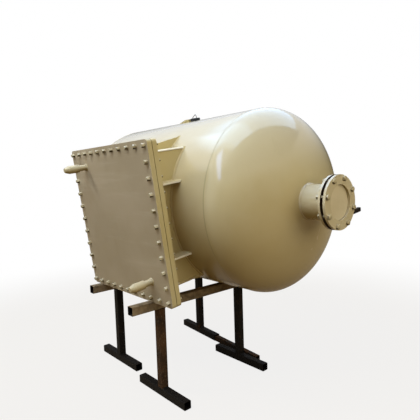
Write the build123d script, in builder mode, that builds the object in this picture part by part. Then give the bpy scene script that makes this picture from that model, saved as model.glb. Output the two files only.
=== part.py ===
from build123d import *
from math import acos, atan2, cos, degrees, hypot, radians, sin, sqrt
import os

os.makedirs("parts", exist_ok=True)

# A horizontal welded steel exchanger shell with dished ends. A square bolted cover closes a
# rectangular box on its front side, a flanged nozzle stands on one end, and the whole vessel lies
# loose on a low stand of square tube: on the bottom of the shell and on the lower edge of the cover.
# Frame: X along the shell towards the nozzle, Y from the cover to the back, Z up from the ground.
# The origin is on the ground, under the middle of the object's box.

# Shell and heads
shell_d = 1290
shell_wall = 10
shell_length = 1545
head_wall = 10
head_depth_share = 0.5
seam_bead_width = 12
seam_bead_height = 2.5

# Box on the front of the shell, its flange and its cover
cover_size = 1070
cover_t = 32
cover_corner_r = 22
cover_offset = 60
flange_t = 32
flange_standoff = 137
flange_side_land = 150
flange_end_land = 80
gasket_t = 4
gasket_setback = 4
box_wall = 12
bolt_pitch = 100
bolt_edge = 35
bolt_hole_d = 18

# Stiffeners between the flange and the shell
rib_t = 12
rib_width = 90
rib_height = 245
gusset_inset = 160
gusset_toe = 16
gusset_heel_share = 0.42

# Drain and vent stubs on the cover
stub_side_inset = 55
stub_end_inset = 62
stub_lift = 8
stub_pipe_d = 42.4
stub_pipe_wall = 3.6
stub_pipe_reach = 60
stub_socket_d = 58
stub_socket_length = 75
stub_socket_depth = 25
stub_nose_length = 32
stub_nose_tip_d = 34

# End nozzle, its blank and the companion flange
neck_d = 232
neck_wall = 8.2
neck_reach = 164
neck_inset = 6
nozzle_ring_width = 56
nozzle_flange_t = 16
nozzle_bolt_edge = 20
nozzle_bolts_n = 8
nozzle_hole_d = 22
companion_lip = 5
blank_setback = 5
blank_t = 18
blank_handle_reach = 262
blank_handle_width = 28
blank_handle_corner_r = 7
nozzle_bolt_d = 20
nozzle_head_af = 30
nozzle_head_h = 12.5
nozzle_nut_h = 18
nozzle_bolt_tail = 6

# Fittings on top of the shell
pad_x = -102
pad_length = 124
pad_width = 80
pad_height = 20
pad_slope_length = 80
cap_d = 76
cap_height = 22
cap_edge_r = 3
bail_wire_d = 6
bail_setback = 4
bail_span = 48
bail_peak_share = 0.8
bail_height = 34
bail_shoulder = 8
bail_bend_r = 6

# Stand
rail_top_height = 680
rail_size = 60
leg_size = 56
foot_size = 56
ground_tube_size = 46
tube_wall = 3
tube_inner_r = 3
left_rail_x = -425
right_rail_x = 277
left_rail_lead = 92
right_rail_lead = 160
rail_overhang = 232
rear_left_leg_y = 235
rear_right_leg_y = 66
foot_left_reach = 266
foot_right_reach = 274
rear_foot_swing = 30
ground_tube_length = 560

# Fits
root_gap = 0.3
overrun = 5

# Shell sizes that follow from those above
shell_r = shell_d / 2
scribe_r = shell_r + root_gap
head_depth = shell_r * head_depth_share
left_tangent = -shell_length / 2 - cover_offset
right_tangent = shell_length / 2 - cover_offset
box_flange_back = shell_r + flange_standoff
cover_face_to_axis = box_flange_back + flange_t + gasket_t + cover_t
box_width = cover_size - 2 * flange_side_land
box_height = cover_size - 2 * flange_end_land
inner_width = box_width - 2 * box_wall
inner_height = box_height - 2 * box_wall
neck_flange_x = right_tangent + head_depth + neck_reach
blank_x = neck_flange_x + nozzle_flange_t
companion_x = blank_x + blank_t
companion_face_x = companion_x + nozzle_flange_t

# The vessel leans forward until the cover's lower front edge meets the rails beside the shell.
edge_angle = atan2(cover_face_to_axis, cover_size / 2)
edge_distance = hypot(cover_face_to_axis, cover_size / 2)
vessel_roll = edge_angle - acos(shell_r / edge_distance)
edge_reach = sqrt(edge_distance**2 - shell_r**2)
axis_height = rail_top_height + shell_r + root_gap

# Reach of the object from the cover's centre line and the shell's axis, to centre it on the origin
stub_x = box_width / 2 - stub_side_inset
stub_z = box_height / 2 - stub_end_inset
stub_reach = stub_pipe_reach + stub_socket_length + stub_nose_length
left_reach = head_depth - left_tangent
right_reach = companion_face_x + nozzle_head_h
stub_tip_z = stub_z + stub_lift + stub_nose_tip_d / 2
front_reach = (cover_face_to_axis + stub_reach) * cos(vessel_roll) + stub_tip_z * sin(vessel_roll)
back_reach = shell_r + seam_bead_height
centre_x = (left_reach - right_reach) / 2
centre_y = (front_reach - back_reach) / 2

vessel = Plane(
    origin=(centre_x, centre_y, axis_height),
    x_dir=(1, 0, 0),
    z_dir=(0, -sin(vessel_roll), cos(vessel_roll)),
)
shell_axis = Axis(vessel.origin, vessel.x_dir)
vessel_up = Axis(vessel.origin, vessel.z_dir)


def across(x):
    # Plane square to the shell's axis: its own x runs to the back, its own y runs up the vessel.
    return Plane(vessel.from_local_coords((x, 0, 0)), x_dir=vessel.y_dir, z_dir=vessel.x_dir)


def facing(depth):
    # Plane parallel to the cover, a depth in front of the shell's axis, looking outwards.
    return Plane(vessel.from_local_coords((0, -depth, 0)), x_dir=vessel.x_dir, z_dir=-vessel.y_dir)


def meets_shell(z):
    # How far in front of the axis the scribed shell surface lies at a height on the vessel.
    return sqrt(scribe_r**2 - z**2)


def finish(piece, name):
    piece.label = name
    export_step(piece, f"parts/{name}.step")


# Shell: rolled plate with the box's opening cut through its front
with BuildPart() as shell:
    with BuildSketch(across(left_tangent)):
        Circle(shell_r)
        Circle(shell_r - shell_wall, mode=Mode.SUBTRACT)
    extrude(amount=shell_length)
    with BuildSketch(facing(0)):
        Rectangle(inner_width, inner_height)
    extrude(amount=shell_d, mode=Mode.SUBTRACT)
finish(shell.part, "shell")


def head_section(tangent):
    # Half section of a dished head: two quarter ellipses, a wall apart, from the rim to the crown.
    crown = tangent + head_depth
    rim_in = shell_r - head_wall
    with BuildLine() as section:
        EllipticalCenterArc((tangent, 0), head_depth, shell_r)
        EllipticalCenterArc((tangent, 0), head_depth - head_wall, rim_in)
        Line((tangent, rim_in), (tangent, shell_r))
        Line((crown - head_wall, 0), (crown, 0))
    return section.edges()


# Far head, closed
with BuildPart() as far_head:
    with BuildSketch(Plane(vessel.origin, x_dir=-vessel.x_dir, z_dir=vessel.y_dir)):
        make_face(head_section(-left_tangent))
    revolve(axis=shell_axis)
finish(far_head.part, "far_head")

# Nozzle head, with the hole for the neck
with BuildPart() as nozzle_head:
    with BuildSketch(facing(0)):
        make_face(head_section(right_tangent))
    revolve(axis=shell_axis)
    with BuildSketch(across(right_tangent)):
        Circle(neck_d / 2 + root_gap)
    extrude(amount=head_depth + overrun, mode=Mode.SUBTRACT)
finish(nozzle_head.part, "nozzle_head")

# Welded seams round the shell where the heads are joined on
for seam_name, seam_x in (("far_seam_weld", left_tangent), ("nozzle_seam_weld", right_tangent)):
    bead_start = (seam_x - seam_bead_width / 2, scribe_r)
    bead_end = (seam_x + seam_bead_width / 2, scribe_r)
    with BuildPart() as seam_weld:
        with BuildSketch(facing(0)):
            with BuildLine():
                ThreePointArc(bead_start, (seam_x, shell_r + seam_bead_height), bead_end)
                Line(bead_end, bead_start)
            make_face()
        revolve(axis=shell_axis)
    finish(seam_weld.part, seam_name)


def strip_to_shell(low, high_front, high_back):
    # Plate section between the flange and the shell, with its far edge scribed to the round shell.
    with BuildLine() as section:
        Line((-box_flange_back, low), (-box_flange_back, high_front))
        Line((-box_flange_back, high_front), (-meets_shell(high_back), high_back))
        RadiusArc((-meets_shell(high_back), high_back), (-meets_shell(low), low), -scribe_r)
        Line((-meets_shell(low), low), (-box_flange_back, low))
    return section.edges()


# Box walls: top and bottom plates across the full width, side plates between them
for wall_name, wall_low in (
    ("box_top_wall", box_height / 2 - box_wall),
    ("box_bottom_wall", -box_height / 2),
):
    with BuildPart() as level_wall:
        with BuildSketch(across(-box_width / 2)):
            make_face(strip_to_shell(wall_low, wall_low + box_wall, wall_low + box_wall))
        extrude(amount=box_width)
    finish(level_wall.part, wall_name)

for wall_name, wall_x in (
    ("box_left_wall", -box_width / 2),
    ("box_right_wall", box_width / 2 - box_wall),
):
    with BuildPart() as side_wall:
        with BuildSketch(across(wall_x)):
            make_face(strip_to_shell(-inner_height / 2, inner_height / 2, inner_height / 2))
        extrude(amount=box_wall)
    finish(side_wall.part, wall_name)

# Side ribs between the flange and the shell, two on each side of the box
for side_name, rib_x in (("left", -box_width / 2 - rib_width), ("right", box_width / 2)):
    for level_name, rib_z in (("upper", rib_height), ("lower", -rib_height)):
        with BuildPart() as rib:
            with BuildSketch(across(rib_x)):
                make_face(strip_to_shell(rib_z - rib_t / 2, rib_z + rib_t / 2, rib_z + rib_t / 2))
            extrude(amount=rib_width)
        finish(rib.part, f"{side_name}_{level_name}_rib")

# Gussets on the box's top and bottom walls, low at the flange and tall at the shell
gusset_x = box_width / 2 - gusset_inset
gusset_rim = box_height / 2
gusset_heel = gusset_heel_share * (shell_r - gusset_rim)
with BuildPart() as top_gussets:
    with BuildSketch(*(across(side * gusset_x - rib_t / 2) for side in (-1, 1))):
        make_face(strip_to_shell(gusset_rim, gusset_rim + gusset_toe, gusset_rim + gusset_heel))
    extrude(amount=rib_t)
finish(top_gussets.part, "top_gussets")

with BuildPart() as bottom_gussets:
    add(top_gussets.part.mirror(vessel), mode=Mode.ADD)
finish(bottom_gussets.part, "bottom_gussets")

# Bolts along one side of the square bolt line, both corners included, spaced out to about the pitch
bolt_line = cover_size - 2 * bolt_edge
bolts_per_side = round(bolt_line / bolt_pitch) + 1
bolt_step = bolt_line / (bolts_per_side - 1)

# Box flange: four flat bars, butt welded, the side bars between the long top and bottom bars
level_bar = flange_end_land + box_wall
side_bar = flange_side_land + box_wall
level_bar_z = (cover_size - level_bar) / 2
side_bar_x = (cover_size - side_bar) / 2

for bar_name, bar_side in (("flange_top_bar", 1), ("flange_bottom_bar", -1)):
    with BuildPart() as level_flange_bar:
        with BuildSketch(facing(box_flange_back)):
            with Locations((0, bar_side * level_bar_z)):
                Rectangle(cover_size, level_bar)
            fillet(vertices().sort_by(Axis.Y, reverse=bar_side < 0)[-2:], cover_corner_r)
            with Locations((0, bar_side * bolt_line / 2)):
                with GridLocations(bolt_step, bolt_step, bolts_per_side, 1):
                    Circle(bolt_hole_d / 2, mode=Mode.SUBTRACT)
        extrude(amount=flange_t)
    finish(level_flange_bar.part, bar_name)

for bar_name, bar_side in (("flange_left_bar", -1), ("flange_right_bar", 1)):
    with BuildPart() as side_flange_bar:
        with BuildSketch(facing(box_flange_back)):
            with Locations((bar_side * side_bar_x, 0)):
                Rectangle(side_bar, inner_height)
            with Locations((bar_side * bolt_line / 2, 0)):
                with GridLocations(bolt_step, bolt_step, 1, bolts_per_side - 2):
                    Circle(bolt_hole_d / 2, mode=Mode.SUBTRACT)
        extrude(amount=flange_t)
    finish(side_flange_bar.part, bar_name)

# Gasket: a flat frame that lies inside the bolts
gasket_size = bolt_line - bolt_hole_d - gasket_setback
with BuildPart() as cover_gasket:
    with BuildSketch(facing(box_flange_back + flange_t)):
        Rectangle(gasket_size, gasket_size)
        Rectangle(inner_width, inner_height, mode=Mode.SUBTRACT)
    extrude(amount=gasket_t)
finish(cover_gasket.part, "cover_gasket")

# Cover: square plate drilled all round its edge and for the two stubs
stub_places = {"upper": (-stub_x, stub_lift + stub_z), "lower": (stub_x, stub_lift - stub_z)}
with BuildPart() as cover_plate:
    with BuildSketch(facing(cover_face_to_axis - cover_t)):
        RectangleRounded(cover_size, cover_size, cover_corner_r)
        with GridLocations(bolt_step, bolt_line, bolts_per_side, 2):
            Circle(bolt_hole_d / 2, mode=Mode.SUBTRACT)
        with GridLocations(bolt_line, bolt_step, 2, bolts_per_side - 2):
            Circle(bolt_hole_d / 2, mode=Mode.SUBTRACT)
        with Locations(*stub_places.values()):
            Circle(stub_pipe_d / 2 + root_gap, mode=Mode.SUBTRACT)
    extrude(amount=cover_t)
finish(cover_plate.part, "cover_plate")

# Stubs: a pipe through the cover and a screwed cap with a tapered nose over its end
for stub_name, stub_place in stub_places.items():
    with BuildPart() as stub_pipe:
        with BuildSketch(facing(cover_face_to_axis - cover_t)):
            with Locations(stub_place):
                Circle(stub_pipe_d / 2)
                Circle(stub_pipe_d / 2 - stub_pipe_wall, mode=Mode.SUBTRACT)
        extrude(amount=cover_t + stub_pipe_reach + stub_socket_depth)
    finish(stub_pipe.part, f"{stub_name}_stub_pipe")

    socket_start = cover_face_to_axis + stub_pipe_reach
    with BuildPart() as stub_cap:
        with BuildSketch(facing(socket_start)):
            with Locations(stub_place):
                Circle(stub_socket_d / 2)
        extrude(amount=stub_socket_length)
        nose_taper = degrees(atan2((stub_socket_d - stub_nose_tip_d) / 2, stub_nose_length))
        with BuildSketch(facing(socket_start + stub_socket_length)):
            with Locations(stub_place):
                Circle(stub_socket_d / 2)
        extrude(amount=stub_nose_length, taper=nose_taper)
        with BuildSketch(facing(socket_start)):
            with Locations(stub_place):
                Circle(stub_pipe_d / 2 + root_gap)
        extrude(amount=stub_socket_depth, mode=Mode.SUBTRACT)
    finish(stub_cap.part, f"{stub_name}_stub_cap")

# Nozzle neck, from the inside of the head to just short of the flange's face
with BuildPart() as nozzle_neck:
    with BuildSketch(across(right_tangent + head_depth - 2 * head_wall)):
        Circle(neck_d / 2)
        Circle(neck_d / 2 - neck_wall, mode=Mode.SUBTRACT)
    extrude(amount=2 * head_wall + neck_reach + nozzle_flange_t - neck_inset)
finish(nozzle_neck.part, "nozzle_neck")

# The two ring flanges, drilled alike with holes that straddle the centre lines
half_step = 180 / nozzle_bolts_n
nozzle_flange_d = neck_d + 2 * nozzle_ring_width
nozzle_pcd = nozzle_flange_d - 2 * nozzle_bolt_edge
for flange_name, flange_x, flange_bore_d in (
    ("nozzle_flange", neck_flange_x, neck_d + 2 * root_gap),
    ("companion_flange", companion_x, neck_d - 2 * companion_lip),
):
    with BuildPart() as ring_flange:
        with BuildSketch(across(flange_x)):
            Circle(nozzle_flange_d / 2)
            Circle(flange_bore_d / 2, mode=Mode.SUBTRACT)
            with PolarLocations(nozzle_pcd / 2, nozzle_bolts_n, start_angle=half_step):
                Circle(nozzle_hole_d / 2, mode=Mode.SUBTRACT)
        extrude(amount=nozzle_flange_t)
    finish(ring_flange.part, flange_name)

# Blank between the flanges: a disc inside the bolts, with a handle that passes between two of them
blank_d = nozzle_pcd - nozzle_hole_d - blank_setback
handle_z = -(blank_d / 2) * sin(radians(2 * half_step))
with BuildPart() as nozzle_blank:
    with BuildSketch(across(blank_x)):
        Circle(blank_d / 2)
        with Locations((blank_handle_reach / 2, handle_z)):
            Rectangle(blank_handle_reach, blank_handle_width)
        fillet(vertices().group_by(Axis.X)[-1], blank_handle_corner_r)
    extrude(amount=blank_t)
finish(nozzle_blank.part, "nozzle_blank")

# Nozzle bolts: hexagon heads outside, nuts behind, and a shank through both flanges
grip = 2 * nozzle_flange_t + blank_t
with BuildPart() as nozzle_bolts:
    with BuildSketch(across(companion_face_x)):
        with PolarLocations(nozzle_pcd / 2, nozzle_bolts_n, start_angle=half_step):
            RegularPolygon(nozzle_head_af / 2, 6, major_radius=False)
    extrude(amount=nozzle_head_h)
    with BuildSketch(across(neck_flange_x - nozzle_nut_h)):
        with PolarLocations(nozzle_pcd / 2, nozzle_bolts_n, start_angle=half_step):
            RegularPolygon(nozzle_head_af / 2, 6, major_radius=False)
    extrude(amount=nozzle_nut_h)
    with BuildSketch(across(neck_flange_x - nozzle_nut_h - nozzle_bolt_tail)):
        with PolarLocations(nozzle_pcd / 2, nozzle_bolts_n, start_angle=half_step):
            Circle(nozzle_bolt_d / 2)
    extrude(amount=nozzle_bolt_tail + nozzle_nut_h + grip)
finish(nozzle_bolts.part, "nozzle_bolts")

# Top pad: a low block scribed to the shell, with one sloping end
pad_end = pad_x + pad_length / 2
pad_start = pad_x - pad_length / 2
with BuildPart() as top_pad:
    with BuildSketch(facing(-pad_width / 2)):
        Polygon(
            (pad_start, 0),
            (pad_end, 0),
            (pad_end, shell_r + pad_height),
            (pad_start + pad_slope_length, shell_r + pad_height),
            (pad_start, shell_r),
            align=None,
        )
    extrude(amount=pad_width)
    with BuildSketch(across(left_tangent)):
        Circle(scribe_r)
    extrude(amount=shell_length, mode=Mode.SUBTRACT)
finish(top_pad.part, "top_pad")

# Top cap: a low round plug against the pad's end, with a wire bail on it
cap_x = pad_end + root_gap + cap_d / 2
crest = Plane(vessel.from_local_coords((cap_x, 0, 0)), x_dir=vessel.x_dir, z_dir=vessel.z_dir)
with BuildPart() as top_cap:
    with BuildSketch(crest):
        Circle(cap_d / 2)
    extrude(amount=shell_r + cap_height)
    with BuildSketch(across(left_tangent)):
        Circle(scribe_r)
    extrude(amount=shell_length, mode=Mode.SUBTRACT)
    fillet(edges().filter_by(GeomType.CIRCLE).sort_by(vessel_up)[-1], cap_edge_r)
finish(top_cap.part, "top_cap")

bail_foot = shell_r + cap_height
bail_left = cap_x - cap_d / 2 + bail_setback + bail_wire_d / 2
bail_right = bail_left + bail_span
bail_peak = bail_left + bail_peak_share * bail_span
with BuildPart() as cap_bail:
    with BuildLine(facing(0)) as bail_path:
        FilletPolyline(
            (bail_left, bail_foot),
            (bail_left, bail_foot + bail_shoulder),
            (bail_peak, bail_foot + bail_height - bail_wire_d / 2),
            (bail_right, bail_foot + bail_shoulder),
            (bail_right, bail_foot),
            radius=bail_bend_r,
        )
    with BuildSketch(Plane(bail_path.wires()[0] @ 0, z_dir=bail_path.wires()[0] % 0)):
        Circle(bail_wire_d / 2)
    sweep()
finish(cap_bail.part, "cap_bail")


def tube_section(size):
    # Square tube section with rounded corners.
    inner = size - 2 * tube_wall
    RectangleRounded(size, size, tube_inner_r + tube_wall)
    RectangleRounded(inner, inner, tube_inner_r, mode=Mode.SUBTRACT)


# Stand: two crosswise rails, a leg under each end and a foot tube under each leg
rail_middle = rail_top_height - rail_size / 2
left_rail_front = edge_reach + left_rail_lead
right_rail_front = edge_reach + right_rail_lead
for rail_name, rail_x, rail_front, last_leg_y in (
    ("left_rail", left_rail_x, left_rail_front, rear_left_leg_y),
    ("right_rail", right_rail_x, right_rail_front, rear_right_leg_y),
):
    rail_start = (centre_x + rail_x, centre_y - rail_front, rail_middle)
    with BuildPart() as rail:
        with BuildSketch(Plane(rail_start, x_dir=(1, 0, 0), z_dir=(0, 1, 0))):
            tube_section(rail_size)
        extrude(amount=rail_front + last_leg_y + rail_overhang)
    finish(rail.part, rail_name)

leg_length = rail_top_height - rail_size - foot_size
rear_foot_skew = atan2(rear_foot_swing, foot_right_reach)
for leg_name, leg_x, leg_y, foot_skew in (
    ("front_left", left_rail_x, rail_overhang - left_rail_front, 0),
    ("front_right", right_rail_x, rail_overhang - right_rail_front, 0),
    ("rear_left", left_rail_x, rear_left_leg_y, rear_foot_skew),
    ("rear_right", right_rail_x, rear_right_leg_y, 0),
):
    leg_place = Vector(centre_x + leg_x, centre_y + leg_y, 0)
    with BuildPart() as leg:
        with BuildSketch(Plane(leg_place + (0, 0, foot_size))):
            tube_section(leg_size)
        extrude(amount=leg_length)
    finish(leg.part, f"{leg_name}_leg")

    foot_way = Vector(cos(foot_skew), -sin(foot_skew), 0)
    foot_start = leg_place - foot_way * foot_left_reach + Vector(0, 0, foot_size / 2)
    with BuildPart() as foot:
        with BuildSketch(Plane(foot_start, x_dir=(0, 0, 1), z_dir=foot_way)):
            tube_section(foot_size)
        extrude(amount=foot_left_reach + foot_right_reach)
    finish(foot.part, f"{leg_name}_foot")

    if leg_name == "rear_left":
        # A smaller tube lies on the ground in line with this foot and butts against its end.
        tube_start = leg_place + foot_way * foot_right_reach + Vector(0, 0, ground_tube_size / 2)
        with BuildPart() as rear_ground_tube:
            with BuildSketch(Plane(tube_start, x_dir=(0, 0, 1), z_dir=foot_way)):
                tube_section(ground_tube_size)
            extrude(amount=ground_tube_length)
        finish(rear_ground_tube.part, "rear_ground_tube")
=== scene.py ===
from math import atan2, cos, pi, radians, sin, sqrt

import bpy
import numpy as np
from mathutils import Matrix, Vector


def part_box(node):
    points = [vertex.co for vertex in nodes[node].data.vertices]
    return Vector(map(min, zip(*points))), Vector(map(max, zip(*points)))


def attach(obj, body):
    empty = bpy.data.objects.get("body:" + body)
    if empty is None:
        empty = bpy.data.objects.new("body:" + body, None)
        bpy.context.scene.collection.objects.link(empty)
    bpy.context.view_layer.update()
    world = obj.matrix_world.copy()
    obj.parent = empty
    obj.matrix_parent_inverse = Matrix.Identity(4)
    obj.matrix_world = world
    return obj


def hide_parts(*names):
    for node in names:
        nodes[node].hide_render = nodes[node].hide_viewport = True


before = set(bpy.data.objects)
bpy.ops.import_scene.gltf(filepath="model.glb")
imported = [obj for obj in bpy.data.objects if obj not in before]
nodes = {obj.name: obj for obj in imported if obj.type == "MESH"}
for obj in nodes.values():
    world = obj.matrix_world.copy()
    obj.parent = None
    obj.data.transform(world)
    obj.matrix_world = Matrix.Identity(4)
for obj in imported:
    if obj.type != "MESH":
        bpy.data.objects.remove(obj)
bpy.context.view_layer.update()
print("frame loaded:", len(nodes), "nodes")


def readMesh(nodeName):
    # a node's points, and the way that each of its faces points
    mesh = nodes[nodeName].data
    spots, ways = np.empty(len(mesh.vertices) * 3), np.empty(len(mesh.polygons) * 3)
    mesh.vertices.foreach_get("co", spots)
    mesh.polygons.foreach_get("normal", ways)
    return spots.reshape(-1, 3), ways.reshape(-1, 3)


# Vessel axes: x along the shell from the cover's centre line, y to the back, z up the leaning vessel
coverWays = readMesh("cover_plate")[1]
frontWay = coverWays[coverWays[:, 1].argmin()]
lean = atan2(-frontWay[2], -frontWay[1])
shellLow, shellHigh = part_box("shell")
coverLow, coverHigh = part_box("cover_plate")
vesselMiddle = np.array([
    (coverLow.x + coverHigh.x) / 2,
    (shellLow.y + shellHigh.y) / 2,
    (shellLow.z + shellHigh.z) / 2,
])
vesselAxes = np.array([[1, 0, 0], [0, cos(lean), sin(lean)], [0, -sin(lean), cos(lean)]])
acrossWay, backWay, upWay = np.eye(3)


def toRow(local):
    # row point = vessel middle + local x, y, z along the vessel's three axes
    return np.asarray(local) @ vesselAxes + vesselMiddle


def localBox(nodeName):
    # lowest and highest corner of a node along the vessel's own axes
    spots = (readMesh(nodeName)[0] - vesselMiddle) @ vesselAxes.T
    return spots.min(0), spots.max(0)


shellRadius = (shellHigh.z - shellLow.z) / 2
coverFrom, coverTo = localBox("cover_plate")
flangeBack = localBox("flange_top_bar")[1][1]
boxTo = localBox("box_top_wall")[1]
boxSide, boxRim = boxTo[0], boxTo[2]
neckRadius = localBox("nozzle_neck")[1][2]
ringFrom = localBox("nozzle_flange")[0]
companionTo = localBox("companion_flange")[1]


def shellFront(height):
    # y of the shell's front at a height on the vessel: minus the root of radius squared less height squared
    return -np.sqrt(shellRadius**2 - np.asarray(height, float)**2)


# Meshes

def gridQuads(rows, cols, wrapRows, wrapCols):
    # quad between row i and i+1 and column j and j+1, the last joined to the first where it wraps
    i = np.arange(rows if wrapRows else rows - 1)[:, None]
    j = np.arange(cols if wrapCols else cols - 1)[None, :]
    iNext, jNext = (i + 1) % rows, (j + 1) % cols
    quads = np.stack([i * cols + j, i * cols + jNext, iNext * cols + jNext, iNext * cols + j], -1)
    return quads.reshape(-1, 4)


def sweptSolid(rings, closed=False):
    # rings of section points carried along a path, turned to face outwards: a ring runs anticlockwise seen
    # from ahead when its area vector points along the path; flat ends close an open path
    ring = rings[0] - rings[0].mean(0)
    area = np.cross(ring, np.roll(ring, -1, 0)).sum(0)
    if area @ (rings[1].mean(0) - rings[0].mean(0)) < 0:
        rings = rings[:, ::-1]
    rows, cols = rings.shape[:2]
    ends = np.array([np.arange(cols)[::-1], np.arange(cols) + (rows - 1) * cols])
    return rings.reshape(-1, 3), [gridQuads(rows, cols, closed, True)] + ([] if closed else [ends])


def addPiece(name, solids, finish, sharpAngle=35):
    # solids are (points, face blocks) in row axes, joined in one mesh
    starts = np.cumsum([0] + [len(points) for points, blocks in solids])
    faces = [
        face for start, (points, blocks) in zip(starts, solids)
        for block in blocks for face in (block + start).tolist()]
    mesh = bpy.data.meshes.new(name)
    mesh.from_pydata(np.concatenate([points for points, blocks in solids]).tolist(), [], faces)
    mesh.polygons.foreach_set("use_smooth", np.ones(len(mesh.polygons), bool))
    mesh.set_sharp_from_angle(angle=radians(sharpAngle))
    mesh.materials.append(finish)
    mesh.validate()
    piece = bpy.data.objects.new(name, mesh)
    bpy.context.scene.collection.objects.link(piece)
    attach(piece, "root")
    return piece


# Node helpers

def newFinish(name):
    finish = bpy.data.materials.new(name)
    finish.use_nodes = True
    tree = finish.node_tree
    shader = tree.nodes["Principled BSDF"]
    spot = tree.nodes.new("ShaderNodeTexCoord").outputs["Object"]
    return finish, tree, shader, spot


def emptyFinish(name):
    # material with no nodes yet, for the sheets that stand round the object
    finish = bpy.data.materials.new(name)
    finish.use_nodes = True
    finish.node_tree.nodes.clear()
    return finish, finish.node_tree


def noiseAt(tree, spot, pattern):
    if "stretch" in pattern:
        mapping = tree.nodes.new("ShaderNodeMapping")
        mapping.inputs["Scale"].default_value = pattern["stretch"]
        tree.links.new(spot, mapping.inputs["Vector"])
        spot = mapping.outputs["Vector"]
    noise = tree.nodes.new("ShaderNodeTexNoise")
    noise.inputs["Scale"].default_value = pattern["scale"]
    noise.inputs["Detail"].default_value = pattern["detail"]
    noise.inputs["Roughness"].default_value = pattern.get("rough", 0.5)
    tree.links.new(spot, noise.inputs["Vector"])
    return noise.outputs["Fac"]


def remap(tree, value, low, high, toLow=0.0, toHigh=1.0):
    ranger = tree.nodes.new("ShaderNodeMapRange")
    ranger.interpolation_type = "SMOOTHSTEP"
    for key, number in (("From Min", low), ("From Max", high), ("To Min", toLow), ("To Max", toHigh)):
        ranger.inputs[key].default_value = number
    tree.links.new(value, ranger.inputs["Value"])
    return ranger.outputs["Result"]


def noiseMask(tree, spot, pattern, least=0.0, most=1.0):
    # noise that goes from least to most between the pattern's two levels
    return remap(tree, noiseAt(tree, spot, pattern), pattern["from"], pattern["to"], least, most)


def maths(tree, kind, first, second=0.0):
    node = tree.nodes.new("ShaderNodeMath")
    node.operation = kind
    for socket, value in zip(node.inputs, (first, second)):
        if isinstance(value, (int, float)):
            socket.default_value = value
        else:
            tree.links.new(value, socket)
    return node.outputs["Value"]


def vectorMaths(tree, kind, first, second=(0, 0, 0)):
    node = tree.nodes.new("ShaderNodeVectorMath")
    node.operation = kind
    tree.links.new(first, node.inputs[0])
    node.inputs[1].default_value = second
    return node.outputs["Value" if kind == "LENGTH" else "Vector"]


def blendColour(tree, amount, under, over):
    # on a colour mix the amount is socket 0, the two colours are 6 and 7 and the result is 2
    node = tree.nodes.new("ShaderNodeMix")
    node.data_type = "RGBA"
    for socket, value in zip((node.inputs[0], node.inputs[6], node.inputs[7]), (amount, under, over)):
        if isinstance(value, tuple):
            socket.default_value = (*value, 1)
        else:
            tree.links.new(value, socket)
    return node.outputs[2]


def addBump(tree, shader, spot, layers):
    # noise layers, each laid over the one before
    last = None
    for layer in layers:
        bump = tree.nodes.new("ShaderNodeBump")
        bump.inputs["Strength"].default_value = layer["strength"]
        bump.inputs["Distance"].default_value = layer["distance"]
        tree.links.new(noiseAt(tree, spot, layer), bump.inputs["Height"])
        if last:
            tree.links.new(last, bump.inputs["Normal"])
        last = bump.outputs["Normal"]
    tree.links.new(last, shader.inputs["Normal"])


def axisParts(tree, vector):
    split = tree.nodes.new("ShaderNodeSeparateXYZ")
    tree.links.new(vector, split.inputs[0])
    return split.outputs


def facingParts(tree):
    # the x, y and z of the way that the surface faces
    return axisParts(tree, tree.nodes.new("ShaderNodeNewGeometry").outputs["Normal"])


# Finishes

creamLook = {
    "fresh": (0.62, 0.515, 0.265), "mellow": (0.58, 0.465, 0.215),
    "clouds": {"scale": 1.9, "detail": 4, "from": 0.36, "to": 0.66},
    "front": None, "frontFacing": (-0.6, -0.9), "edge": None, "edgeHighlightFacing": (0.3, 0.6),
    "film": (0.23, 0.15, 0.045), "filmMost": 0.8, "filmFrom": 0.2, "filmTo": -0.95,
    "dust": (0.60, 0.54, 0.41), "dustMost": 0.6, "dustAndTopLightFacing": (0.1, 0.9),
    "runTone": (0.30, 0.235, 0.13), "runMost": 0.16,
    "runs": {"scale": 7.0, "detail": 5, "rough": 0.6, "stretch": (1, 1, 0.09), "from": 0.58, "to": 0.82},
    "smearTone": (0.66, 0.58, 0.42), "smear": 0.0,
    "wipes": {"scale": 3.2, "detail": 5, "rough": 0.62, "stretch": (0.35, 1, 3.2), "from": 0.5, "to": 0.75},
    "speckTone": (0.24, 0.18, 0.10), "speckMost": 0.35,
    "specks": {"scale": 190.0, "detail": 2, "from": 0.70, "to": 0.80},
    "bareAndGapShadeTone": (0.060, 0.038, 0.020), "bare": None, "bareFade": 0.0004,
    "gloss": 0.14, "glossSpread": 0.12, "patches": {"scale": 11.0, "detail": 4, "from": 0.35, "to": 0.75},
    "shine": 0.25, "coat": 0.9, "coatFacing": (-0.5, 0.6), "coatRough": 0.04,
    "bumps": (
        {"scale": 3.1, "detail": 2, "strength": 0.06, "distance": 0.02},
        {"scale": 230.0, "detail": 2, "strength": 0.03, "distance": 0.002}),
}


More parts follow.
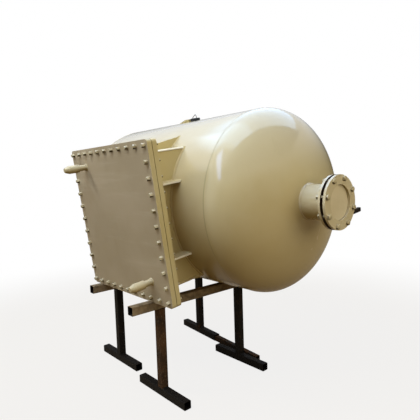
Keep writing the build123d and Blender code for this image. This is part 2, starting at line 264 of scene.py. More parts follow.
def creamPaint(name, **changes):
    # sprayed gloss enamel: clouds of two creams, pale dust on top that is partly painted light, painted brown
    # shade below, fine orange peel
    look = {**creamLook, **changes}
    finish, tree, shader, spot = newFinish(name)
    facing = facingParts(tree)
    cloud = noiseMask(tree, spot, look["clouds"])
    colour = blendColour(tree, cloud, look["fresh"], look["mellow"])
    # painted shade: a darker, greyer pair of creams on faces that look to the front
    if look["front"]:
        front = remap(tree, facing["Y"], *look["frontFacing"])
        colour = blendColour(tree, front, colour, blendColour(tree, cloud, *look["front"]))
    # painted highlight: a pale cream on faces that look along x
    if look["edge"]:
        edge = remap(tree, maths(tree, "MULTIPLY", facing["X"], facing["X"]), *look["edgeHighlightFacing"])
        colour = blendColour(tree, edge, colour, look["edge"])
    # painted shade: a darker brown towards down-facing faces
    film = remap(tree, facing["Z"], look["filmFrom"], look["filmTo"], 0.0, look["filmMost"])
    colour = blendColour(tree, film, colour, look["film"])
    # pale dust towards up-facing faces, partly painted light on the tops
    dust = remap(tree, facing["Z"], *look["dustAndTopLightFacing"], 0.0, look["dustMost"])
    colour = blendColour(tree, dust, colour, look["dust"])
    runs = noiseMask(tree, spot, look["runs"], 0.0, look["runMost"])
    colour = blendColour(tree, runs, colour, look["runTone"])
    if look["smear"]:
        wiped = noiseMask(tree, spot, look["wipes"], 0.0, look["smear"])
        colour = blendColour(tree, wiped, colour, look["smearTone"])
    specks = noiseMask(tree, spot, look["specks"], 0.0, look["speckMost"])
    colour = blendColour(tree, specks, colour, look["speckTone"])
    # near-black between the nozzle's flange and its companion: unpainted steel, and painted shade in the gap
    if look["bare"]:
        along, fade, (bareFrom, bareTo) = axisParts(tree, spot)["X"], look["bareFade"], look["bare"]
        past = remap(tree, along, bareFrom - 2 * fade, bareFrom - fade)
        before = remap(tree, along, bareTo + 2 * fade, bareTo + fade)
        colour = blendColour(tree, maths(tree, "MULTIPLY", past, before), colour, look["bareAndGapShadeTone"])
    tree.links.new(colour, shader.inputs["Base Color"])
    patchy = noiseMask(tree, spot, look["patches"], look["gloss"], look["gloss"] + look["glossSpread"])
    tree.links.new(maths(tree, "ADD", patchy, runs), shader.inputs["Roughness"])
    coat = remap(tree, facing["Z"], *look["coatFacing"], 0.0, look["coat"])
    tree.links.new(coat, shader.inputs["Coat Weight"])
    shader.inputs["Coat Roughness"].default_value = look["coatRough"]
    shader.inputs["Specular IOR Level"].default_value = look["shine"]
    addBump(tree, shader, spot, look["bumps"])
    return finish


shellPaint = creamPaint(
    "shellPaint", fresh=(0.64, 0.53, 0.305), mellow=(0.60, 0.48, 0.255), coatRough=0.14)
headPaint = creamPaint("headPaint", fresh=(0.62, 0.515, 0.285), mellow=(0.58, 0.465, 0.235))
farPaint = creamPaint("farPaint", shine=0.15, coat=0.35, coatRough=0.12)
seamPaint = creamPaint(
    "seamPaint", fresh=(0.46, 0.38, 0.195), mellow=(0.42, 0.335, 0.155), gloss=0.4, coat=0.0)
# nozzle parts: near-black in the gap between the flanges, bare steel and painted shade
nozzlePaint = creamPaint(
    "nozzlePaint", fresh=(0.70, 0.60, 0.39), mellow=(0.64, 0.54, 0.33), gloss=0.18, coatRough=0.08,
    bare=(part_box("nozzle_flange")[1].x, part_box("companion_flange")[0].x))
plateLook = {"gloss": 0.34, "shine": 0.12, "coat": 0.06, "dust": (0.78, 0.66, 0.44), "dustMost": 0.5}
platePaint = creamPaint("platePaint", **plateLook)
# the ribs' end faces get the pale painted highlight
edgeHighlightPaint = creamPaint("edgeHighlightPaint", **plateLook, edge=(0.95, 0.88, 0.71))
# the cover's front face gets the darker painted-shade creams
coverPaint = creamPaint(
    "coverPaint", front=((0.485, 0.395, 0.268), (0.43, 0.348, 0.228)), smear=0.22, gloss=0.44, coat=0.08)
weldPaint = creamPaint(
    "weldPaint", fresh=(0.62, 0.51, 0.27), mellow=(0.56, 0.44, 0.22), dust=(0.68, 0.56, 0.33),
    gloss=0.4, shine=0.12, coat=0.0)
stubPaint = creamPaint(
    "stubPaint", fresh=(0.60, 0.505, 0.30), mellow=(0.55, 0.455, 0.255), dust=(0.68, 0.60, 0.44),
    dustMost=0.5, gloss=0.34, shine=0.12, coat=0.06)
# painted highlight: near-white creams, pale ends and pale tops for the bright lip along the box's top corners
highlightLipPaint = creamPaint(
    "highlightLipPaint", fresh=(0.80, 0.71, 0.50), mellow=(0.74, 0.64, 0.43), edge=(0.95, 0.89, 0.74),
    dust=(0.95, 0.89, 0.74), dustMost=0.9, gloss=0.4, shine=0.12, coat=0.0)

tubeLook = {
    "sootAndHollowShade": (0.011, 0.009, 0.0075), "rust": (0.085, 0.043, 0.020),
    "blooms": {"scale": 9.0, "detail": 8, "rough": 0.66},
    "dust": (0.20, 0.155, 0.10), "grit": {"scale": 75.0, "detail": 5, "rough": 0.7, "from": 0.52, "to": 0.72},
    "spray": (0.42, 0.325, 0.20), "sprayFrom": 0.6, "sprayTo": -0.25, "sprayLeast": 0.3, "sprayMost": 0.72,
    "mist": {"scale": 16.0, "detail": 6, "rough": 0.65, "from": 0.34, "to": 0.68},
    "skin": 0.0012, "shine": 0.08, "roughBare": 0.5, "roughRusty": 0.85,
    "bumps": (
        {"scale": 34.0, "detail": 6, "rough": 0.6, "strength": 0.25, "distance": 0.004},
        {"scale": 420.0, "detail": 3, "strength": 0.25, "distance": 0.0008}),
}


def standTube(name, rustLow, rustHigh, dustMost, railName=None):
    # bare square tube: mill scale under blooms of rust; a rail also has cream overspray near the cover
    # and painted shade inside its hollow, where the greater of its distances across and up from its middle is
    # small
    finish, tree, shader, spot = newFinish(name)
    bloom = remap(tree, noiseAt(tree, spot, tubeLook["blooms"]), rustLow, rustHigh)
    colour = blendColour(tree, bloom, tubeLook["sootAndHollowShade"], tubeLook["rust"])
    grit = noiseMask(tree, spot, tubeLook["grit"], 0.0, dustMost)
    colour = blendColour(tree, grit, colour, tubeLook["dust"])
    if railName:
        parts = axisParts(tree, spot)
        near = remap(tree, parts["Y"], tubeLook["sprayFrom"], tubeLook["sprayTo"])
        mist = noiseMask(tree, spot, tubeLook["mist"], tubeLook["sprayLeast"], tubeLook["sprayMost"])
        colour = blendColour(tree, maths(tree, "MULTIPLY", near, mist), colour, tubeLook["spray"])
        low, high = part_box(railName)
        across = maths(tree, "SUBTRACT", parts["X"], (low.x + high.x) / 2)
        up = maths(tree, "SUBTRACT", parts["Z"], (low.z + high.z) / 2)
        reach = maths(tree, "MAXIMUM", maths(tree, "ABSOLUTE", across), maths(tree, "ABSOLUTE", up))
        half = (high.x - low.x) / 2
        hollowShade = remap(tree, reach, half - tubeLook["skin"], half - 2 * tubeLook["skin"])
        colour = blendColour(tree, hollowShade, colour, tubeLook["sootAndHollowShade"])
    tree.links.new(colour, shader.inputs["Base Color"])
    rough = remap(tree, bloom, 0, 1, tubeLook["roughBare"], tubeLook["roughRusty"])
    tree.links.new(rough, shader.inputs["Roughness"])
    shader.inputs["Specular IOR Level"].default_value = tubeLook["shine"]
    addBump(tree, shader, spot, tubeLook["bumps"])
    return finish


railRust = {"rustLow": 0.30, "rustHigh": 0.60, "dustMost": 0.5}
legTube = standTube("legTube", rustLow=0.56, rustHigh=0.80, dustMost=0.12)
rustyLeg = standTube("rustyLeg", rustLow=0.26, rustHigh=0.62, dustMost=0.6)
leftRailTube = standTube("leftRailTube", **railRust, railName="left_rail")
rightRailTube = standTube("rightRailTube", **railRust, railName="right_rail")
groundTube = standTube("groundTube", rustLow=0.40, rustHigh=0.64, dustMost=0.35)

plainLook = {
    "clouds": {"detail": 5, "rough": 0.6, "from": 0.35, "to": 0.68},
    "grain": {"detail": 3, "strength": 0.2, "distance": 0.001},
}


def plainFinish(name, dark, light, scale, roughLow, roughHigh, grainScale, metal=0.0):
    # two tones of one material in fine clouds, with matching roughness
    finish, tree, shader, spot = newFinish(name)
    cloud = noiseMask(tree, spot, {"scale": scale, **plainLook["clouds"]})
    tree.links.new(blendColour(tree, cloud, dark, light), shader.inputs["Base Color"])
    tree.links.new(remap(tree, cloud, 0, 1, roughLow, roughHigh), shader.inputs["Roughness"])
    shader.inputs["Metallic"].default_value = metal
    addBump(tree, shader, spot, [{"scale": grainScale, **plainLook["grain"]}])
    return finish


plugRubber = plainFinish(
    "plugRubber", dark=(0.008, 0.008, 0.008), light=(0.022, 0.021, 0.020), scale=60,
    roughLow=0.38, roughHigh=0.55, grainScale=300)
bailWire = plainFinish(
    "bailWire", dark=(0.30, 0.28, 0.25), light=(0.52, 0.50, 0.47), scale=120,
    roughLow=0.3, roughHigh=0.5, grainScale=400, metal=0.9)
gasketSheet = plainFinish(
    "gasketSheet", dark=(0.60, 0.49, 0.27), light=(0.72, 0.60, 0.35), scale=90,
    roughLow=0.6, roughHigh=0.8, grainScale=500)

blankLook = {
    "cream": ((0.70, 0.60, 0.40), (0.64, 0.54, 0.34)), "roughCream": 0.2,
    "clouds": {"scale": 6.0, "detail": 4, "from": 0.35, "to": 0.7},
    "steel": ((0.012, 0.010, 0.009), (0.07, 0.04, 0.022)), "roughSteel": 0.65,
    "millScale": {"scale": 40.0, "detail": 6, "from": 0.4, "to": 0.7},
    "creamTo": 0.108, "steelFrom": 0.114, "shine": 0.15,
    "bumps": ({"scale": 150.0, "detail": 3, "strength": 0.08, "distance": 0.001},),
}


def blankPlate(name):
    # cream where the bore leaves the plate open, bare dark steel between the flanges and on the handle
    finish, tree, shader, spot = newFinish(name)
    fromAxis = vectorMaths(tree, "MULTIPLY", vectorMaths(tree, "SUBTRACT", spot, vesselMiddle), (0, 1, 1))
    bare = remap(tree, vectorMaths(tree, "LENGTH", fromAxis), blankLook["creamTo"], blankLook["steelFrom"])
    cream = blendColour(tree, noiseMask(tree, spot, blankLook["clouds"]), *blankLook["cream"])
    steel = blendColour(tree, noiseMask(tree, spot, blankLook["millScale"]), *blankLook["steel"])
    tree.links.new(blendColour(tree, bare, cream, steel), shader.inputs["Base Color"])
    rough = remap(tree, bare, 0, 1, blankLook["roughCream"], blankLook["roughSteel"])
    tree.links.new(rough, shader.inputs["Roughness"])
    shader.inputs["Specular IOR Level"].default_value = blankLook["shine"]
    addBump(tree, shader, spot, blankLook["bumps"])
    return finish


blankSteel = blankPlate("blankSteel")
print("finishes made")

nodeFinish = {
    "shell": shellPaint, "far_head": farPaint, "nozzle_head": headPaint,
    "far_seam_weld": seamPaint, "nozzle_seam_weld": seamPaint,
    "right_upper_rib": edgeHighlightPaint, "right_lower_rib": edgeHighlightPaint,
    "left_upper_rib": edgeHighlightPaint, "left_lower_rib": edgeHighlightPaint,
    "nozzle_neck": nozzlePaint, "nozzle_flange": nozzlePaint, "companion_flange": nozzlePaint,
    "front_right_leg": rustyLeg,
    "cover_plate": coverPaint, "cover_gasket": gasketSheet,
    "upper_stub_pipe": stubPaint, "upper_stub_cap": stubPaint,
    "lower_stub_pipe": stubPaint, "lower_stub_cap": stubPaint,
    "nozzle_blank": blankSteel, "top_cap": plugRubber, "cap_bail": bailWire,
    "left_rail": leftRailTube, "right_rail": rightRailTube, "rear_ground_tube": groundTube,
}
for nodeName, node in nodes.items():
    isStand = nodeName.endswith(("_leg", "_foot"))
    node.data.materials.clear()
    node.data.materials.append(nodeFinish.get(nodeName, legTube if isStand else platePaint))
print("CAD nodes painted")

# Bolts

coverBoltLook = {
    "edge": 0.035, "perSide": 11, "acrossFlats": 0.024, "head": 0.018, "nut": 0.014, "washer": 0.003,
    "washerRadius": 0.0155, "shank": 0.008, "tail": 0.013, "seed": 3,
}
nozzleBoltLook = {
    "edge": 0.020, "count": 8, "firstStep": 0.5, "acrossFlats": 0.030, "head": 0.010, "nut": 0.0155,
    "washer": 0.0025, "washerRadius": 0.0185, "shank": 0.010, "tail": 0.006, "seed": 8,
}
boltShape = {
    "around": 24, "uncut": 1.2, "headCap": 0.90, "headChamfer": 0.14, "nutCap": 0.92, "nutChamfer": 0.12,
    "tailChamfer": 0.0015,
}


def hexBolts(places, along, grip, look):
    # at distance s along a bolt its outline at angle t has radius r(s), or on head and nut the hexagon
    # half width / cos(t folded into 60 degrees, less 30), cut down to a cap c(s) where they are chamfered
    half, washer, disc, shank = look["acrossFlats"] / 2, look["washer"], look["washerRadius"], look["shank"]
    uncut, chamfer = boltShape["uncut"] * half, boltShape["tailChamfer"]
    headTop, nutFrom = -washer - look["head"], grip + washer
    nutTop = nutFrom + look["nut"]
    tailTop = nutTop + look["tail"]
    headEdge = headTop + boltShape["headChamfer"] * look["head"]
    nutEdge = nutTop - boltShape["nutChamfer"] * look["nut"]
    head = [(headTop, boltShape["headCap"] * half), (headEdge, uncut), (-washer, uncut)]
    body = [(-washer, disc), (0, disc), (0, shank), (grip, shank), (grip, disc), (nutFrom, disc)]
    nut = [(nutFrom, uncut), (nutEdge, uncut), (nutTop, boltShape["nutCap"] * half)]
    tail = [(nutTop, shank), (tailTop - chamfer, shank), (tailTop, shank - chamfer)]
    angle = np.arange(boltShape["around"]) * 2 * pi / boltShape["around"]
    hexagon = half / np.cos(np.mod(angle, pi / 3) - pi / 6)
    plain = np.full_like(angle, disc)
    outline = np.array([
        np.minimum(full, cap)
        for full, part in ((hexagon, head), (plain, body), (hexagon, nut), (plain, tail)) for s, cap in part])
    stations = np.array([s for s, cap in head + body + nut + tail])
    side = np.cross(upWay, along)
    turns = np.random.default_rng(look["seed"]).uniform(0, pi / 3, len(places))
    solids = []
    for place, turn in zip(places, turns):
        rings = (
            place + stations[:, None, None] * along
            + (outline * np.cos(angle + turn))[:, :, None] * upWay
            - (outline * np.sin(angle + turn))[:, :, None] * side
        )
        solids.append(sweptSolid(toRow(rings)))
    return solids


boltLine = coverTo[0] - coverBoltLook["edge"]
spread = np.linspace(-boltLine, boltLine, coverBoltLook["perSide"])
rim = [(x, z) for z in (-boltLine, boltLine) for x in spread]
rim += [(x, z) for x in (-boltLine, boltLine) for z in spread[1:-1]]
coverBoltPlaces = np.array([(x, coverFrom[1], z) for x, z in rim])
# the near-black brown below is painted shade on the down-facing facets of heads and nuts
boltPaint = creamPaint(
    "boltPaint", fresh=(0.62, 0.53, 0.33), mellow=(0.54, 0.45, 0.26), film=(0.06, 0.042, 0.02), filmMost=0.9,
    filmFrom=0.05, filmTo=-0.45, gloss=0.26, coat=0.4, coatRough=0.1)
addPiece(
    "cover_bolts", hexBolts(coverBoltPlaces, backWay, flangeBack - coverFrom[1], coverBoltLook),
    boltPaint)

boltCircle = companionTo[2] - nozzleBoltLook["edge"]
boltSteps = np.arange(nozzleBoltLook["count"]) + nozzleBoltLook["firstStep"]
boltAngles = boltSteps * 2 * pi / nozzleBoltLook["count"]
nozzleBoltPlaces = np.stack([
    np.full_like(boltAngles, companionTo[0]),
    boltCircle * np.cos(boltAngles),
    boltCircle * np.sin(boltAngles),
], -1)
nozzleBolts = addPiece(
    "nozzle_bolt_set", hexBolts(nozzleBoltPlaces, -acrossWay, companionTo[0] - ringFrom[0], nozzleBoltLook),
    boltPaint)
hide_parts("nozzle_bolts")
print("bolts added:", len(coverBoltPlaces), "on the cover,", len(nozzleBoltPlaces), "on the nozzle")

# Weld beads

weldLook = {
    "step": 0.0016, "fewest": 4, "scribeStretch": 1.3, "sink": 0.0006, "across": 8, "belly": 1.5, "sharp": 80,
    "pitch": 0.0065, "ripple": 0.16, "rippleLevel": 0.6, "wander": 0.10, "waves": (71, 43), "waveShift": 1.3,
    "wallLeg": 0.010, "flangeLeg": 0.008, "ribLeg": 0.006, "neckLeg": 0.007, "ringLeg": 0.006,
    "stubLeg": 0.006, "standLeg": 0.006, "edgeRadius": 0.008, "edgeSink": 0.4, "edgeAround": 12,
    "tubeBead": 0.004, "tubeCorner": 0.006, "seamWide": 0.011, "seamHigh": 0.0016,
}


def alongPath(path):
    # scale of the bead at each path point: scallops a pitch long plus a slow wander of two waves, both from
    # the distance travelled
    travelled = np.concatenate([[0], np.cumsum(np.linalg.norm(np.diff(path, axis=0), axis=1))])
    scallop = np.abs(np.sin(pi * travelled / weldLook["pitch"])) - weldLook["rippleLevel"]
    first, second = weldLook["waves"]
    wander = (np.sin(travelled * first) + np.sin(travelled * second + weldLook["waveShift"])) / 2
    return 1 + weldLook["ripple"] * scallop + weldLook["wander"] * wander


def filletBead(path, wayA, wayB, leg, closed=False, place=toRow):
    # corner + leg cos^p t along one plate + leg sin^p t along the other, t from 0 to 90 degrees, its root
    # and toes sunk a little into the plates
    wayA, wayB = np.broadcast_to(wayA, path.shape)[:, None], np.broadcast_to(wayB, path.shape)[:, None]
    t = np.linspace(0, pi / 2, weldLook["across"])
    legs = leg * alongPath(path)[:, None]
    a = legs * np.cos(t) ** weldLook["belly"] - weldLook["sink"] * (t == t[-1])
    b = legs * np.sin(t) ** weldLook["belly"] - weldLook["sink"] * (t == t[0])
    face = path[:, None] + a[..., None] * wayA + b[..., None] * wayB
    root = path[:, None] - weldLook["sink"] * (wayA + wayB)
    return sweptSolid(place(np.concatenate([face, root], 1)), closed)


def edgeBead(path, wayA, wayB, radius, place=toRow):
    # round bead over an outside edge: circle about a centre sunk a share of its radius below both plates
    t = np.arange(weldLook["edgeAround"]) * 2 * pi / weldLook["edgeAround"]
    grown = radius * alongPath(path)[:, None, None]
    around = np.cos(t)[:, None] * wayA + np.sin(t)[:, None] * wayB
    return sweptSolid(place(path[:, None] - weldLook["edgeSink"] * radius * (wayA + wayB) + grown * around))


def straightRun(start, end):
    # even steps from the start to the end
    start, end = np.asarray(start, float), np.asarray(end, float)
    count = max(int(np.linalg.norm(end - start) / weldLook["step"]), weldLook["fewest"])
    return start + np.linspace(0, 1, count)[:, None] * (end - start)


def scribedRun(x, low, high):
    # path on the shell's front at one x, from one height to another
    z = np.linspace(low, high, int(abs(high - low) * weldLook["scribeStretch"] / weldLook["step"]))
    return np.stack([np.full_like(z, x), shellFront(z), z], -1)


def outFromShell(path):
    # way straight out of the shell at each path point
    return path * (0, 1, 1) / shellRadius


def upShell(height):
    # way along the shell's surface towards the top, square to its axis
    return np.array([0, height, -shellFront(height)]) / shellRadius


def cornerWelds(end):
    # beads along both outer corners of the box's top or bottom wall
    solids = []
    for side in (-1, 1):
        flangeEnd = (side * boxSide, flangeBack, end * boxRim)
        shellEnd = (side * boxSide, shellFront(boxRim), end * boxRim)
        corner = straightRun(flangeEnd, shellEnd)
        solids.append(edgeBead(corner, side * acrossWay, end * upWay, weldLook["edgeRadius"]))
    return solids


def boxWelds():
    # side walls, top and bottom to the shell and to the flange, and the box's lower corners
    solids = []
    for side in (-1, 1):
        toShell = scribedRun(side * boxSide, -boxRim, boxRim)
        solids.append(filletBead(toShell, side * acrossWay, outFromShell(toShell), weldLook["wallLeg"]))
        shellAt = shellFront(boxRim)
        across = straightRun((-boxSide, shellAt, side * boxRim), (boxSide, shellAt, side * boxRim))
        solids.append(filletBead(across, -backWay, upShell(side * boxRim) * side, weldLook["wallLeg"]))
        level = straightRun((-boxSide, flangeBack, side * boxRim), (boxSide, flangeBack, side * boxRim))
        solids.append(filletBead(level, side * upWay, backWay, weldLook["flangeLeg"]))
        upright = straightRun((side * boxSide, flangeBack, -boxRim), (side * boxSide, flangeBack, boxRim))
        solids.append(filletBead(upright, side * acrossWay, backWay, weldLook["flangeLeg"]))
    return solids + cornerWelds(-1)


def ribWelds(nodeName):
    # both faces of one rib: along the box wall, the flange and the shell
    low, high = localBox(nodeName)
    wallX, outX, side = (high[0], low[0], -1) if low[0] < 0 else (low[0], high[0], 1)
    solids = []
    for face in (-1, 1):
        z = (low[2], high[2])[(face + 1) // 2]
        wall = straightRun((wallX, flangeBack, z), (wallX, shellFront(z), z))
        solids.append(filletBead(wall, side * acrossWay, face * upWay, weldLook["ribLeg"]))
        flange = straightRun((wallX, flangeBack, z), (outX, flangeBack, z))
        solids.append(filletBead(flange, backWay, face * upWay, weldLook["ribLeg"]))
        shell = straightRun((wallX, shellFront(z), z), (outX, shellFront(z), z))
        solids.append(filletBead(shell, -backWay, face * upShell(z), weldLook["ribLeg"]))
    return solids


def gussetWelds(nodeName):
    # both faces of both gussets: along the box wall and up the shell
    low, high = localBox(nodeName)
    end = 1 if high[2] > 0 else -1
    heel = max(abs(low[2]), abs(high[2]))
    thick = localBox("right_upper_rib")[1][2] - localBox("right_upper_rib")[0][2]
    solids = []
    for x, face in ((low[0], -1), (low[0] + thick, 1), (high[0] - thick, -1), (high[0], 1)):
        wall = straightRun((x, flangeBack, end * boxRim), (x, shellFront(boxRim), end * boxRim))
        solids.append(filletBead(wall, face * acrossWay, end * upWay, weldLook["ribLeg"]))
        shell = scribedRun(x, end * boxRim, end * heel)
        solids.append(filletBead(shell, face * acrossWay, outFromShell(shell), weldLook["ribLeg"]))
    return solids


def ringPath(centre, radius, wayA, wayB):
    # circle about a centre: radius (cos t along one way + sin t along the other), and the way out at each
    count = int(2 * pi * radius / weldLook["step"])
    t = np.arange(count) / count * 2 * pi
    out = np.cos(t)[:, None] * wayA + np.sin(t)[:, None] * wayB
    return np.asarray(centre) + radius * out, out


def nozzleWelds():
    # rings round the neck behind its flange and on the head, an ellipse half as deep as the shell's radius:
    # x at a share f of that radius is depth root(1 - f squared), and the slope there is the way down the head
    tangent, headDeep, fall = localBox("shell")[1][0], shellRadius / 2, neckRadius / shellRadius
    rootX = tangent + headDeep * sqrt(1 - fall**2)
    root, out = ringPath((rootX, 0, 0), neckRadius, backWay, upWay)
    downHead = out - acrossWay * headDeep / shellRadius * fall / sqrt(1 - fall**2)
    ring, ringOut = ringPath((ringFrom[0], 0, 0), neckRadius, backWay, upWay)
    return [
        filletBead(root, acrossWay, downHead, weldLook["neckLeg"], closed=True),
        filletBead(ring, -acrossWay, ringOut, weldLook["ringLeg"], closed=True),
    ]


def stubWelds():
    # ring round each stub's pipe on the cover
    solids = []
    for nodeName in ("upper_stub_pipe", "lower_stub_pipe"):
        low, high = localBox(nodeName)
        middle = ((low[0] + high[0]) / 2, coverFrom[1], (low[2] + high[2]) / 2)
        root, out = ringPath(middle, (high[0] - low[0]) / 2, acrossWay, upWay)
        solids.append(filletBead(root, -backWay, out, weldLook["stubLeg"], closed=True))
    return solids


def seamBead(x):
    # low bead round the shell at one x: half width sin t along the shell, height cos t out of it, t from -90
    # to 90 degrees, on a flat foot sunk into the plate
    path, out = ringPath((x, 0, 0), shellRadius, backWay, upWay)
    t = np.linspace(-pi / 2, pi / 2, weldLook["across"] + 1)
    high = weldLook["seamHigh"] * alongPath(path)[:, None] * np.cos(t) - weldLook["sink"]
    along = weldLook["seamWide"] / 2 * np.sin(t)[:, None] * acrossWay
    return sweptSolid(toRow(path[:, None] + along + high[..., None] * out[:, None]), closed=True)


def legWelds(nodeName):
    # a leg's fillets across the rail above and the foot below, and low beads where leg and foot lie flush
    (lowX, lowY, lowZ), (highX, highY, highZ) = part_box(nodeName)
    trim, leg, bead = weldLook["tubeCorner"], weldLook["standLeg"], weldLook["tubeBead"]
    asIs = np.asarray
    solids = []
    for side, faceX, faceY in ((-1, lowX, lowY), (1, highX, highY)):
        top = straightRun((lowX + trim, faceY, highZ), (highX - trim, faceY, highZ))
        solids.append(filletBead(top, side * backWay, -upWay, leg, place=asIs))
        foot = straightRun((faceX, lowY + trim, lowZ), (faceX, highY - trim, lowZ))
        solids.append(filletBead(foot, side * acrossWay, upWay, leg, place=asIs))
        flush = straightRun((lowX + trim, faceY, lowZ), (highX - trim, faceY, lowZ))
        solids.append(edgeBead(flush, side * backWay, upWay, bead, place=asIs))
        rail = straightRun((faceX, lowY + trim, highZ), (faceX, highY - trim, highZ))
        solids.append(edgeBead(rail, side * acrossWay, -upWay, bead, place=asIs))
    return solids


ribNames = [side + level for side in ("left_", "right_") for level in ("upper_rib", "lower_rib")]
stiffenerBeads = [solid for name in ribNames for solid in ribWelds(name)]
stiffenerBeads += [solid for name in ("top_gussets", "bottom_gussets") for solid in gussetWelds(name)]
legNames = [nodeName for nodeName in nodes if nodeName.endswith("_leg")]
legBeads = [solid for name in legNames for solid in legWelds(name)]
sharp = weldLook["sharp"]
addPiece("box_welds", boxWelds(), weldPaint, sharp)
# the box's top corner beads carry the painted highlight
addPiece("top_corner_welds", cornerWelds(1), highlightLipPaint, sharp)
addPiece("stiffener_welds", stiffenerBeads, weldPaint, sharp)
addPiece("nozzle_welds", nozzleWelds(), nozzlePaint, sharp)
addPiece("stub_welds", stubWelds(), coverPaint, sharp)
seamSolids = [seamBead(end[0]) for end in localBox("shell")]
seamBeads = addPiece("seam_beads", seamSolids, seamPaint, sharp)
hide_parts("far_seam_weld", "nozzle_seam_weld")
addPiece("stand_welds", legBeads, legTube, sharp)
print("weld beads added")

# Floor, lights, background and camera

floorLook = {
    "half": 40.0, "pale": (0.36, 0.26, 0.13), "near": 2.2, "far": 5.0, "nearWhite": 0.84,
    "mirrorNear": 5.0, "mirrorFar": 14.0, "mirrorWhite": 0.16,
}


def pathFactor(tree, direct=1.0, mirrored=1.0):
    # how white a ray sees the background: one share for the camera's rays, one for gloss and glass
    path = tree.nodes.new("ShaderNodeLightPath")
    mirror = maths(tree, "MAXIMUM", path.outputs["Is Glossy Ray"], path.outputs["Is Transmission Ray"])
    seen = maths(tree, "MULTIPLY", path.outputs["Is Camera Ray"], direct)
    return maths(tree, "MAXIMUM", seen, maths(tree, "MULTIPLY", mirror, mirrored))


def paleFloor():
    # flat sheet; its pale diffuse colour gives way to plain white away from the object
    finish, tree = emptyFinish("paleFloor")
    away = vectorMaths(tree, "LENGTH", tree.nodes.new("ShaderNodeTexCoord").outputs["Object"])
    direct = remap(tree, away, floorLook["near"], floorLook["far"], floorLook["nearWhite"])
    mirrored = remap(tree, away, floorLook["mirrorNear"], floorLook["mirrorFar"], floorLook["mirrorWhite"])
    diffuse = tree.nodes.new("ShaderNodeBsdfDiffuse")
    diffuse.inputs["Color"].default_value = (*floorLook["pale"], 1)
    white = tree.nodes.new("ShaderNodeEmission")
    mix = tree.nodes.new("ShaderNodeMixShader")
    tree.links.new(pathFactor(tree, direct, mirrored), mix.inputs[0])
    tree.links.new(diffuse.outputs[0], mix.inputs[1])
    tree.links.new(white.outputs[0], mix.inputs[2])
    tree.links.new(mix.outputs[0], tree.nodes.new("ShaderNodeOutputMaterial").inputs["Surface"])
    side = floorLook["half"]
    mesh = bpy.data.meshes.new("floor")
    corners = [(-side, -side, 0), (side, -side, 0), (side, side, 0), (-side, side, 0)]
    mesh.from_pydata(corners, [], [(0, 1, 2, 3)])
    mesh.materials.append(finish)
    floor = bpy.data.objects.new("floor", mesh)
    bpy.context.scene.collection.objects.link(floor)


worldLook = {"light": (1.0, 0.95, 0.86), "level": 0.23}


def whiteBackground():
    # white for the camera, gloss and glass, a dim warm light for the rest
    world = bpy.data.worlds.new("studio")
    bpy.context.scene.world = world
    world.use_nodes = True
    tree = world.node_tree
    tree.nodes.clear()
    lighting = tree.nodes.new("ShaderNodeBackground")
    lighting.inputs["Color"].default_value = (*worldLook["light"], 1)
    lighting.inputs["Strength"].default_value = worldLook["level"]
    white = tree.nodes.new("ShaderNodeBackground")
    white.inputs["Color"].default_value = (1, 1, 1, 1)
    mix = tree.nodes.new("ShaderNodeMixShader")
    tree.links.new(pathFactor(tree), mix.inputs[0])
    tree.links.new(lighting.outputs[0], mix.inputs[1])
    tree.links.new(white.outputs[0], mix.inputs[2])
    tree.links.new(mix.outputs[0], tree.nodes.new("ShaderNodeOutputWorld").inputs["Surface"])


tentLook = {
    "radius": 8.0, "high": 7.0, "from": -75, "to": 215, "steps": 96, "dark": (0.055, 0.05, 0.035),
    "haze": (0.85, 0.88, 0.95), "hazeFrom": 2.2, "hazeTo": 6.0,
    "roofFrom": (2.3, -9.0), "roofTo": (9.0, 5.2), "roofHigh": 5.05, "roof": (0.16, 0.24, 0.48),
}


def reflectionStage(name, spots, faces, low, high):
    # sheet that only reflections see, its tone rising from the first to the second over the haze heights
    finish, tree = emptyFinish(name)
    tone = tree.nodes.new("ShaderNodeEmission")
    height = axisParts(tree, tree.nodes.new("ShaderNodeTexCoord").outputs["Object"])["Z"]
    rise = remap(tree, height, tentLook["hazeFrom"], tentLook["hazeTo"])
    tree.links.new(blendColour(tree, rise, low, high), tone.inputs["Color"])
    tree.links.new(tone.outputs[0], tree.nodes.new("ShaderNodeOutputMaterial").inputs["Surface"])
    mesh = bpy.data.meshes.new(name)
    mesh.from_pydata(spots.tolist(), [], faces)
    mesh.materials.append(finish)
    sheet = bpy.data.objects.new(name, mesh)
    sheet.visible_camera = sheet.visible_diffuse = sheet.visible_shadow = sheet.visible_transmission = False
    bpy.context.scene.collection.objects.link(sheet)


def darkTent():
    # wall: radius (cos t, sin t) at foot and top height, t over part of a circle, dark below and hazy above;
    # roof: flat sheet beside the sky cards; both give the gloss an edge against the white
    turn = np.radians(np.linspace(tentLook["from"], tentLook["to"], tentLook["steps"]))
    ring = tentLook["radius"] * np.stack([np.cos(turn), np.sin(turn), np.zeros_like(turn)], -1)
    spots = np.stack([ring, ring + (0, 0, tentLook["high"])], 1).reshape(-1, 3)
    faces = gridQuads(tentLook["steps"], 2, False, False).tolist()
    reflectionStage("tent_wall", spots, faces, tentLook["dark"], tentLook["haze"])
    (nearX, nearY), (farX, farY), high = tentLook["roofFrom"], tentLook["roofTo"], tentLook["roofHigh"]
    corners = np.array([(nearX, nearY, high), (nearX, farY, high), (farX, farY, high), (farX, nearY, high)])
    reflectionStage("tent_roof", corners, [(0, 1, 2, 3)], tentLook["dark"], tentLook["roof"])


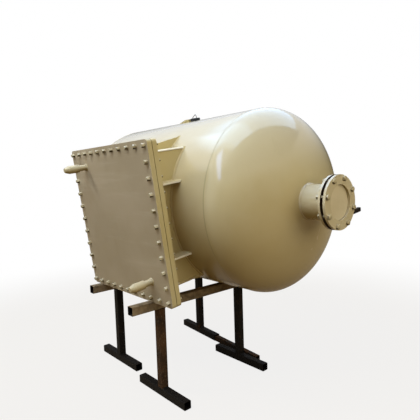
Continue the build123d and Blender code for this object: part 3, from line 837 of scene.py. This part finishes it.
# lamps named sky are only mirrored in the gloss, and the others only light the paint
lampLook = {
    "overhead": {
        "place": (-0.9, 2.7, 5.0), "aim": (-0.9, 2.7, 0), "wide": 6.6, "deep": 8.6, "power": 100,
        "tint": (0.66, 0.83, 1.0)},
    "frontHigh": {
        "place": (0.6, -2.6, 4.8), "aim": (0.2, 0.0, 1.4), "wide": 3.2, "deep": 2.0, "power": 150,
        "tint": (0.76, 0.865, 1.0)},
    "frontLeft": {
        "place": (-1.9, -3.4, 3.9), "aim": (-0.1, -0.6, 1.4), "wide": 0.9, "deep": 0.9, "power": 52,
        "tint": (0.92, 0.96, 1.0)},
    "sideFill": {
        "place": (4.6, 0.3, 2.7), "aim": (0.8, 0.1, 1.2), "wide": 3.0, "deep": 3.0, "power": 64,
        "tint": (1.0, 0.95, 0.78)},
    "backFill": {
        "place": (-3.2, 4.4, 2.8), "aim": (-0.3, 0.4, 1.3), "wide": 3.0, "deep": 3.0, "power": 72,
        "tint": (1.0, 0.96, 0.88)},
    "skyCard": {
        "place": (-0.35, 1.5, 4.9), "aim": (-0.35, 1.5, 0), "wide": 5.3, "deep": 6.2, "power": 158,
        "tint": (0.27, 0.56, 1.0)},
    "skyHot": {
        "place": (-0.45, -0.95, 4.85), "aim": (-0.45, -0.95, 0), "wide": 5.5, "deep": 2.2, "power": 69,
        "tint": (0.52, 0.74, 1.0)},
    "skyGap": {
        "place": (1.32, -4.95, 4.8), "aim": (1.32, -4.95, 0), "wide": 5.8, "deep": 1.3, "power": 135,
        "tint": (0.36, 0.54, 1.0), "turn": -56},
}


def softLamp(name, look, mirrored):
    lamp = bpy.data.lights.new(name, "AREA")
    lamp.shape = "RECTANGLE"
    lamp.size, lamp.size_y, lamp.energy = look["wide"], look["deep"], look["power"]
    lamp.color = look["tint"]
    holder = bpy.data.objects.new(name, lamp)
    turn = (Vector(look["aim"]) - Vector(look["place"])).to_track_quat("-Z", "Y").to_matrix()
    turn = turn @ Matrix.Rotation(radians(look.get("turn", 0)), 3, "Z")
    holder.matrix_world = Matrix.Translation(look["place"]) @ turn.to_4x4()
    holder.visible_glossy, holder.visible_diffuse = mirrored, not mirrored
    bpy.context.scene.collection.objects.link(holder)


# eye and aim are measured from the vessel's middle
cameraLook = {
    "eye": (2.5886, -2.2440, 0.1773), "aim": (0.0234, 0.0152, -0.0942), "roll": -1.857,
    "lens": 35.03, "sensor": 36,
}


def photoCamera():
    data = bpy.data.cameras.new("camera")
    data.lens, data.sensor_width = cameraLook["lens"], cameraLook["sensor"]
    holder = bpy.data.objects.new("camera", data)
    turn = (Vector(cameraLook["aim"]) - Vector(cameraLook["eye"])).to_track_quat("-Z", "Y").to_matrix()
    turn = turn @ Matrix.Rotation(radians(cameraLook["roll"]), 3, "Z")
    holder.matrix_world = Matrix.Translation(Vector(vesselMiddle) + Vector(cameraLook["eye"])) @ turn.to_4x4()
    bpy.context.scene.collection.objects.link(holder)
    bpy.context.scene.camera = holder


paleFloor()
whiteBackground()
darkTent()
for lampName, look in lampLook.items():
    softLamp(lampName, look, lampName.startswith("sky"))
photoCamera()
bpy.context.scene.view_settings.view_transform = "Standard"
print("floor, lamps and camera set")
